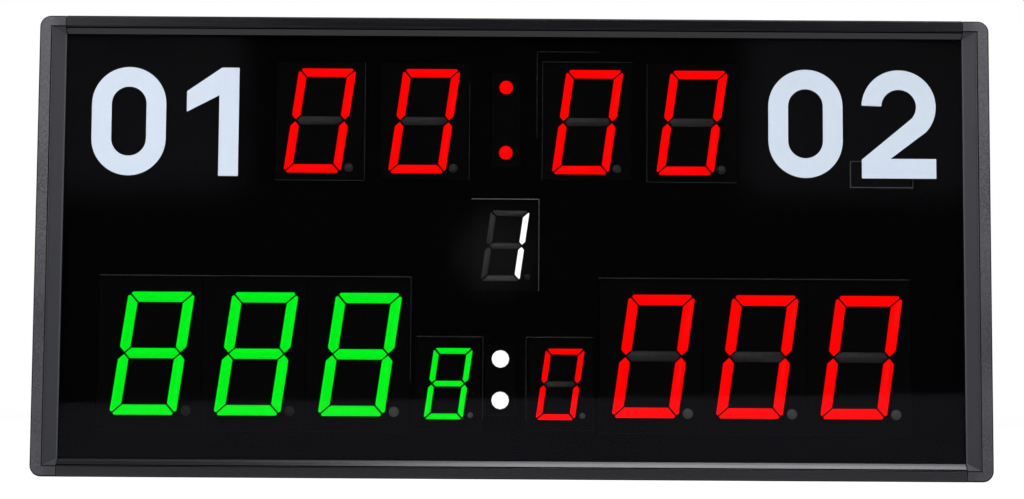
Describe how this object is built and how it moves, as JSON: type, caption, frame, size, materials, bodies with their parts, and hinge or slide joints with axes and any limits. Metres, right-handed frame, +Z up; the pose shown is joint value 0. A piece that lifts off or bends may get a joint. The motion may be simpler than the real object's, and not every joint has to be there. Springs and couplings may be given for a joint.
{
  "type": "electronic scoreboard",
  "caption": "Table or wall scoreboard: segment digits for timer, period, score and fouls behind a smoked window in a bevelled frame, with a rear rocker switch and fold-out legs.",
  "frame": {"origin": "on the ground, under the middle of the whole board's box", "axes": "+X along the board to the viewer's right, +Y from the front face to the back, +Z up"},
  "size_m": [0.6, 0.0446, 0.29],
  "materials": {
    "rail_metal": "satin",
    "cap_plastic": "matte",
    "smoked_acrylic": "polished",
    "mask_black": "matte",
    "housing_black": "matte",
    "red_light": "satin",
    "green_light": "satin",
    "white_light": "satin",
    "circuit_board": "satin",
    "back_metal": "satin",
    "screw_steel": "satin",
    "leg_steel": "satin",
    "black_plastic": "satin",
    "ribbon_grey": "matte"
  },
  "bodies": {
    "root": {"top_rail": "rail_metal", "bottom_rail": "rail_metal", "left_end_cap": "cap_plastic", "right_end_cap": "cap_plastic", "front_window": "smoked_acrylic", "display_mask": "mask_black", "back_panel": "back_metal", "cap_screw_bottom_left": "screw_steel", "cap_screw_top_left": "screw_steel", "cap_screw_top_right": "screw_steel", "cap_screw_bottom_right": "screw_steel", "timer_digit_1_housing": "housing_black", "timer_digit_1_segments": "red_light", "timer_digit_2_housing": "housing_black", "timer_digit_2_segments": "red_light", "timer_digit_3_housing": "housing_black", "timer_digit_3_segments": "red_light", "timer_digit_4_housing": "housing_black", "timer_digit_4_segments": "red_light", "home_score_digit_1_housing": "housing_black", "home_score_digit_1_segments": "green_light", "home_score_digit_2_housing": "housing_black", "home_score_digit_2_segments": "green_light", "home_score_digit_3_housing": "housing_black", "home_score_digit_3_segments": "green_light", "guest_score_digit_1_housing": "housing_black", "guest_score_digit_1_segments": "red_light", "guest_score_digit_2_housing": "housing_black", "guest_score_digit_2_segments": "red_light", "guest_score_digit_3_housing": "housing_black", "guest_score_digit_3_segments": "red_light", "home_foul_digit_housing": "housing_black", "home_foul_digit_segments": "green_light", "guest_foul_digit_housing": "housing_black", "guest_foul_digit_segments": "red_light", "period_digit_housing": "housing_black", "period_digit_segments": "white_light", "timer_colon_housing": "housing_black", "timer_colon_dots": "red_light", "score_colon_housing": "housing_black", "score_colon_dots": "white_light", "timer_board": "circuit_board", "score_board": "circuit_board", "control_board": "circuit_board", "receiver_board": "circuit_board", "timer_ribbon": "ribbon_grey", "score_ribbon": "ribbon_grey", "sounder": "black_plastic", "dc_inlet": "black_plastic", "dc_inlet_nut": "screw_steel", "switch_body": "black_plastic", "left_leg_bracket": "leg_steel", "left_leg_pin": "screw_steel", "right_leg_bracket": "leg_steel", "right_leg_pin": "screw_steel"},
    "left_leg": {"left_leg": "leg_steel"},
    "right_leg": {"right_leg": "leg_steel"},
    "rocker": {"switch_rocker": "black_plastic"}
  },
  "joints": [
    {"name": "left_leg_fold", "type": "hinge", "parent": "root", "child": "left_leg", "pos_m": [-0.262, 0.0189, 0.047], "axis": [0, 0, 1], "range_deg": [0, 90]},
    {"name": "right_leg_fold", "type": "hinge", "parent": "root", "child": "right_leg", "pos_m": [0.262, 0.0189, 0.047], "axis": [0, 0, -1], "range_deg": [0, 90]},
    {"name": "switch_rock", "type": "hinge", "parent": "root", "child": "rocker", "pos_m": [0.178, 0.0131, 0.16], "axis": [1, 0, 0], "range_deg": [-20, 0]}
  ]
}
